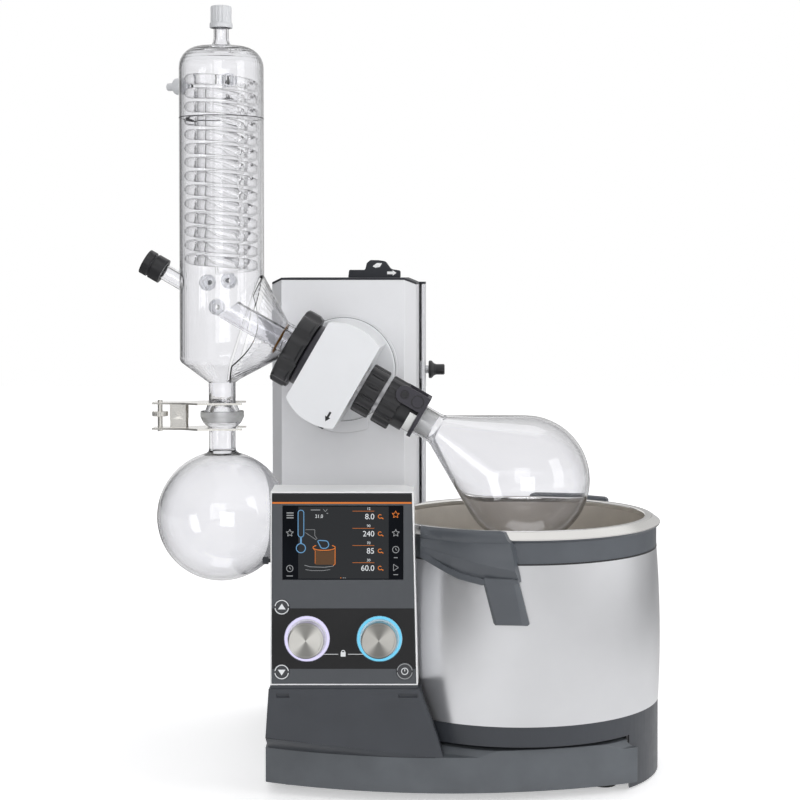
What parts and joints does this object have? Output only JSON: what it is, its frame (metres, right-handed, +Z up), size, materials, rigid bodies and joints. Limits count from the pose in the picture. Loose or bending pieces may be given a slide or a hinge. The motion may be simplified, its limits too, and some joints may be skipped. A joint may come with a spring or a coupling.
{
  "type": "rotary evaporator",
  "caption": "Bench rotary evaporator: lifting tower, tilting drive with turning pear flask, vertical coil condenser, receiving flask, sliding heating bath and control panel.",
  "frame": {"origin": "middle of the whole object's box, at the height of the bench it stands on", "axes": "+Z up, +X to the right towards the bath, +Y to the back"},
  "size_m": [0.5277, 0.414, 0.769],
  "materials": {
    "dark_housing": "fine grained dark blue-grey moulding",
    "rubber": "matt",
    "steel_rod": "ground",
    "actuator_grey": "satin",
    "light_paint": "satin light grey powder coat",
    "black_cap": "matt",
    "fascia_grey": "satin",
    "screen_glass": "glossy",
    "light_ring": "translucent",
    "panel_white": "satin",
    "knob_metal": "turned",
    "key_grey": "satin",
    "pot_steel": "brushed inside, polished rim",
    "shell_steel": "satin silver",
    "heater_metal": "rough",
    "black_nut": "satin",
    "belt_rubber": "matt",
    "bearing_steel": "ground",
    "seal_white": "smooth",
    "clear_glass": "clear borosilicate",
    "coil_glass": "clear borosilicate",
    "grey_cap": "satin",
    "brown_ring": "tempered",
    "nickel": "nickel plated",
    "latch_grey": "satin"
  },
  "bodies": {
    "base": {"base_plate": "dark_housing", "rubber_feet": "rubber", "base_console": "dark_housing", "guide_columns": "steel_rod", "lift_actuator": "actuator_grey", "rear_housing": "light_paint", "rear_cap": "black_cap", "power_inlet": "black_cap", "panel_housing": "panel_white", "panel_fascia": "fascia_grey", "display": "screen_glass", "light_rings": "light_ring"},
    "lift": {"tower_shell": "light_paint", "tower_cap": "black_cap", "tilt_flange": "light_paint", "lift_carriage": "bearing_steel"},
    "slider": {"top_slider": "black_cap"},
    "stop": {"stop_block": "steel_rod"},
    "stop_grip": {"stop_knob": "black_nut"},
    "bath": {"bath_pot": "pot_steel", "bath_shell": "shell_steel", "bath_collar": "dark_housing", "bath_skirt": "dark_housing", "bath_heater": "heater_metal", "bath_grips": "dark_housing"},
    "head": {"head_disc": "light_paint", "drive_housing": "light_paint", "drive_motor": "actuator_grey", "drive_belt": "belt_rubber", "spindle_bearings": "bearing_steel", "spindle_seal": "seal_white", "head_collar": "black_nut", "condenser_jacket": "clear_glass", "cooling_coil": "coil_glass", "hose_connectors": "grey_cap", "retaining_ring": "brown_ring", "upper_jaw": "nickel", "lower_jaw": "nickel", "receiving_flask": "clear_glass"},
    "motor_wheel": {"motor_pulley": "bearing_steel"},
    "union_nut": {"condenser_nut": "black_nut"},
    "vent": {"vent_cap": "black_nut"},
    "top_stopper": {"top_cap": "grey_cap"},
    "jaw_screw": {"clamp_wheel": "nickel"},
    "lock": {"spindle_lock": "black_nut"},
    "rotor": {"spindle_hub": "bearing_steel", "vapour_tube": "clear_glass", "clamp_collar": "black_nut", "clamp_latch": "latch_grey", "evaporating_flask": "clear_glass"},
    "ejector": {"ejector_nut": "black_nut"},
    "yoke": {"clamp_yoke": "black_nut"},
    "left_push": {"left_encoder": "bearing_steel"},
    "left_grip": {"left_knob": "knob_metal"},
    "right_push": {"right_encoder": "bearing_steel"},
    "right_grip": {"right_knob": "knob_metal"},
    "up_key": {"up_button": "key_grey"},
    "down_key": {"down_button": "key_grey"},
    "power_key": {"power_button": "key_grey"},
    "catch": {"panel_catch": "black_nut"}
  },
  "joints": [
    {"name": "lift_slide", "type": "slide", "parent": "base", "child": "lift", "axis": [0, 0, 1], "range_m": [0, 0.14]},
    {"name": "head_tilt", "type": "hinge", "parent": "lift", "child": "head", "pos_m": [-0.061, -0.054, 0.399], "axis": [0, 1, 0], "range_deg": [0, 12]},
    {"name": "spindle_turn", "type": "hinge", "parent": "head", "child": "rotor", "pos_m": [-0.061, -0.054, 0.399], "axis": [0.866, 0, -0.5], "continuous": true},
    {"name": "motor_turn", "type": "hinge", "parent": "head", "child": "motor_wheel", "pos_m": [-0.04801, -0.015, 0.3915], "axis": [0.866, 0, -0.5], "continuous": true},
    {"name": "ejector_turn", "type": "hinge", "parent": "rotor", "child": "ejector", "pos_m": [-0.02896, -0.054, 0.3805], "axis": [0.866, 0, -0.5], "range_deg": [0, 300]},
    {"name": "yoke_open", "type": "hinge", "parent": "rotor", "child": "yoke", "pos_m": [0.00666, -0.054, 0.37818], "axis": [0, -1, 0], "range_deg": [0, 25]},
    {"name": "union_nut_turn", "type": "hinge", "parent": "head", "child": "union_nut", "pos_m": [-0.10257, -0.054, 0.423], "axis": [0.866, 0, -0.5], "continuous": true},
    {"name": "vent_turn", "type": "hinge", "parent": "head", "child": "vent", "pos_m": [-0.24719, -0.054, 0.5065], "axis": [0.866, 0, -0.5], "continuous": true},
    {"name": "top_cap_turn", "type": "hinge", "parent": "head", "child": "top_stopper", "pos_m": [-0.1793, -0.054, 0.7573], "axis": [0, 0, 1], "continuous": true},
    {"name": "jaw_screw_turn", "type": "hinge", "parent": "head", "child": "jaw_screw", "pos_m": [-0.2423, -0.054, 0.357], "axis": [0, 0, 1], "continuous": true},
    {"name": "lock_slide", "type": "slide", "parent": "head", "child": "lock", "axis": [-0.5, 0, -0.866], "range_m": [0, 0.004]},
    {"name": "bath_slide", "type": "slide", "parent": "base", "child": "bath", "axis": [1, 0, 0], "range_m": [0, 0.06]},
    {"name": "stop_slide", "type": "slide", "parent": "base", "child": "stop", "axis": [0, 0, 1], "range_m": [-0.05, 0.05]},
    {"name": "stop_turn", "type": "hinge", "parent": "stop", "child": "stop_grip", "pos_m": [0.03, 0.156, 0.391], "axis": [1, 0, 0], "continuous": true},
    {"name": "slider_slide", "type": "slide", "parent": "lift", "child": "slider", "axis": [1, 0, 0], "range_m": [0, 0.01]},
    {"name": "left_push_slide", "type": "slide", "parent": "base", "child": "left_push", "axis": [0, 0.9993, -0.0384], "range_m": [0, 0.0015], "stiffness_N_per_m": 600},
    {"name": "left_turn", "type": "hinge", "parent": "left_push", "child": "left_grip", "pos_m": [-0.0814, -0.18433, 0.15457], "axis": [0, -0.9993, 0.0384], "continuous": true},
    {"name": "right_push_slide", "type": "slide", "parent": "base", "child": "right_push", "axis": [0, 0.9993, -0.0384], "range_m": [0, 0.0015], "stiffness_N_per_m": 600},
    {"name": "right_turn", "type": "hinge", "parent": "right_push", "child": "right_grip", "pos_m": [-0.0129, -0.18433, 0.15457], "axis": [0, -0.9993, 0.0384], "continuous": true},
    {"name": "up_press", "type": "slide", "parent": "base", "child": "up_key", "axis": [0, 0.9993, -0.0384], "range_m": [0, 0.001], "stiffness_N_per_m": 500},
    {"name": "down_press", "type": "slide", "parent": "base", "child": "down_key", "axis": [0, 0.9993, -0.0384], "range_m": [0, 0.001], "stiffness_N_per_m": 500},
    {"name": "power_press", "type": "slide", "parent": "base", "child": "power_key", "axis": [0, 0.9993, -0.0384], "range_m": [0, 0.001], "stiffness_N_per_m": 500},
    {"name": "catch_pull", "type": "slide", "parent": "base", "child": "catch", "axis": [-1, 0, 0], "range_m": [0, 0.004], "stiffness_N_per_m": 400}
  ],
  "couplings": [
    {"joint": "motor_turn", "follows": "spindle_turn", "ratio": 2.2222}
  ]
}
